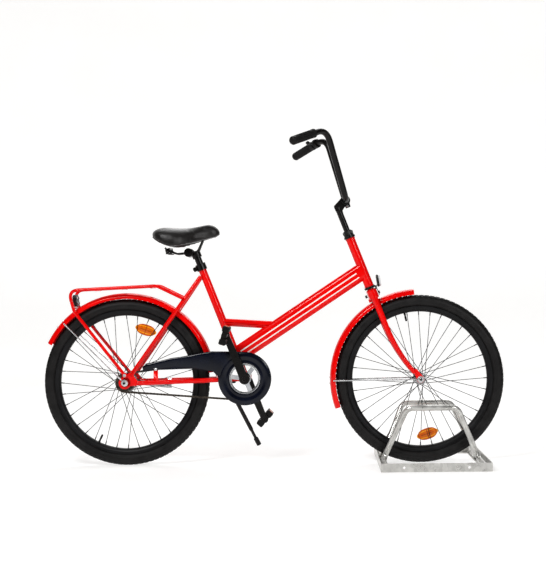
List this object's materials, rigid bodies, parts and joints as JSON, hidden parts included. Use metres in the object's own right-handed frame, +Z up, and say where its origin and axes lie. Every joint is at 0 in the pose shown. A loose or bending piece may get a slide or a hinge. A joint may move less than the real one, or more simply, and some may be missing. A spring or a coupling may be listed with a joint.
{
  "type": "bicycle on stand",
  "caption": "Step-through utility bicycle with a low oval beam frame, mudguards, rear rack, chain guard, kickstand and raised handlebar, its front wheel held in a floor stand.",
  "frame": {"origin": "on the floor, midway between the two axles in the bicycle's middle plane", "axes": "+X towards the front wheel, +Z up, the chain is on the -Y side"},
  "size_m": [1.654, 0.5382, 1.1873],
  "materials": {
    "galvanised_steel": "galvanised, matt",
    "red_enamel": "gloss enamel",
    "black_enamel": "semi-gloss powder coat",
    "black_alloy": "satin anodised",
    "zinc_steel": "zinc plated",
    "drive_steel": "oiled",
    "guard_plastic": "satin moulded",
    "black_rubber": "matt moulded",
    "tyre_rubber": "matt moulded",
    "red_lens": "prismatic reflector",
    "amber_lens": "prismatic reflector",
    "clear_lens": "prismatic reflector",
    "saddle_shell": "moulded",
    "saddle_vinyl": "grained cover"
  },
  "bodies": {
    "wheel_stand": {"stand_base": "galvanised_steel", "stand_hoops": "galvanised_steel"},
    "fork_assembly": {"fork": "red_enamel", "headset_nut": "black_enamel", "stem": "black_enamel", "handlebar": "black_enamel", "grips": "black_rubber", "bell": "black_enamel", "front_reflector": "clear_lens", "front_fender": "red_enamel", "front_fender_stays": "zinc_steel", "front_axle": "zinc_steel"},
    "frame": {"main_beam": "red_enamel", "head_tube": "red_enamel", "seat_tube": "red_enamel", "top_brace": "red_enamel", "bottom_bracket": "red_enamel", "chain_stays": "red_enamel", "seat_stays": "red_enamel", "rear_dropouts": "red_enamel", "kickstand_bracket": "black_enamel", "seat_clamp": "black_enamel", "rear_rack": "red_enamel", "frame_screws": "zinc_steel", "rear_fender": "red_enamel", "rear_fender_stays": "zinc_steel", "rear_reflector": "red_lens", "chain_guard": "guard_plastic", "headset_cups": "black_enamel", "rear_axle": "zinc_steel", "brake_arm": "zinc_steel", "chain": "drive_steel"},
    "front_wheel": {"front_tyre": "tyre_rubber", "front_rim": "black_alloy", "front_spokes": "zinc_steel", "front_hub": "zinc_steel", "front_valve": "black_rubber", "front_wheel_reflector": "amber_lens"},
    "rear_wheel": {"rear_tyre": "tyre_rubber", "rear_rim": "black_alloy", "rear_spokes": "zinc_steel", "rear_hub": "zinc_steel", "rear_valve": "black_rubber", "rear_wheel_reflector": "amber_lens"},
    "driver": {"rear_sprocket": "drive_steel"},
    "crank": {"crank_spindle": "zinc_steel", "chainring": "drive_steel", "right_crank": "black_enamel", "left_crank": "black_enamel", "pedal_spindles": "zinc_steel"},
    "right_pedal_body": {"right_pedal": "black_rubber"},
    "left_pedal_body": {"left_pedal": "black_rubber"},
    "bell_thumb_lever": {"bell_lever": "black_enamel"},
    "kickstand": {"kickstand_leg": "black_enamel", "kickstand_foot": "black_rubber"},
    "saddle": {"seat_post": "black_enamel", "saddle_clamp": "black_enamel", "saddle_rails": "black_enamel", "saddle_base": "saddle_shell", "saddle_cushion": "saddle_vinyl"}
  },
  "joints": [
    {"name": "lift_out", "type": "slide", "parent": "wheel_stand", "child": "fork_assembly", "axis": [0, 0, 1], "range_m": [0, 0.25]},
    {"name": "steering", "type": "hinge", "parent": "fork_assembly", "child": "frame", "pos_m": [0.35308, 0, 0.6317], "axis": [-0.3584, 0, 0.9336], "range_deg": [-60, 60]},
    {"name": "front_wheel_spin", "type": "hinge", "parent": "fork_assembly", "child": "front_wheel", "pos_m": [0.527, 0, 0.3], "axis": [0, 1, 0], "continuous": true},
    {"name": "bell_press", "type": "hinge", "parent": "fork_assembly", "child": "bell_thumb_lever", "pos_m": [0.1534, 0.1518, 1.169], "axis": [0.6516, -0.695, 0.3041], "range_deg": [0, 12], "stiffness_Nm_per_rad": 0.05},
    {"name": "rear_wheel_spin", "type": "hinge", "parent": "frame", "child": "rear_wheel", "pos_m": [-0.527, 0, 0.3], "axis": [0, 1, 0], "continuous": true},
    {"name": "crank_spin", "type": "hinge", "parent": "frame", "child": "crank", "pos_m": [-0.098, 0, 0.31], "axis": [0, 1, 0], "continuous": true},
    {"name": "sprocket_spin", "type": "hinge", "parent": "frame", "child": "driver", "pos_m": [-0.527, 0, 0.3], "axis": [0, 1, 0], "continuous": true},
    {"name": "right_pedal_spin", "type": "hinge", "parent": "crank", "child": "right_pedal_body", "pos_m": [-0.16168, 0, 0.46762], "axis": [0, 1, 0], "continuous": true},
    {"name": "left_pedal_spin", "type": "hinge", "parent": "crank", "child": "left_pedal_body", "pos_m": [-0.03432, 0, 0.15238], "axis": [0, 1, 0], "continuous": true},
    {"name": "kickstand_fold", "type": "hinge", "parent": "frame", "child": "kickstand", "pos_m": [-0.157, 0, 0.272], "axis": [0, 1, 0], "range_deg": [0, 105]},
    {"name": "seat_height", "type": "slide", "parent": "frame", "child": "saddle", "axis": [-0.3584, 0, 0.9336], "range_m": [-0.02, 0.08]}
  ],
  "couplings": [
    {"joint": "sprocket_spin", "follows": "crank_spin", "ratio": 2.375}
  ]
}
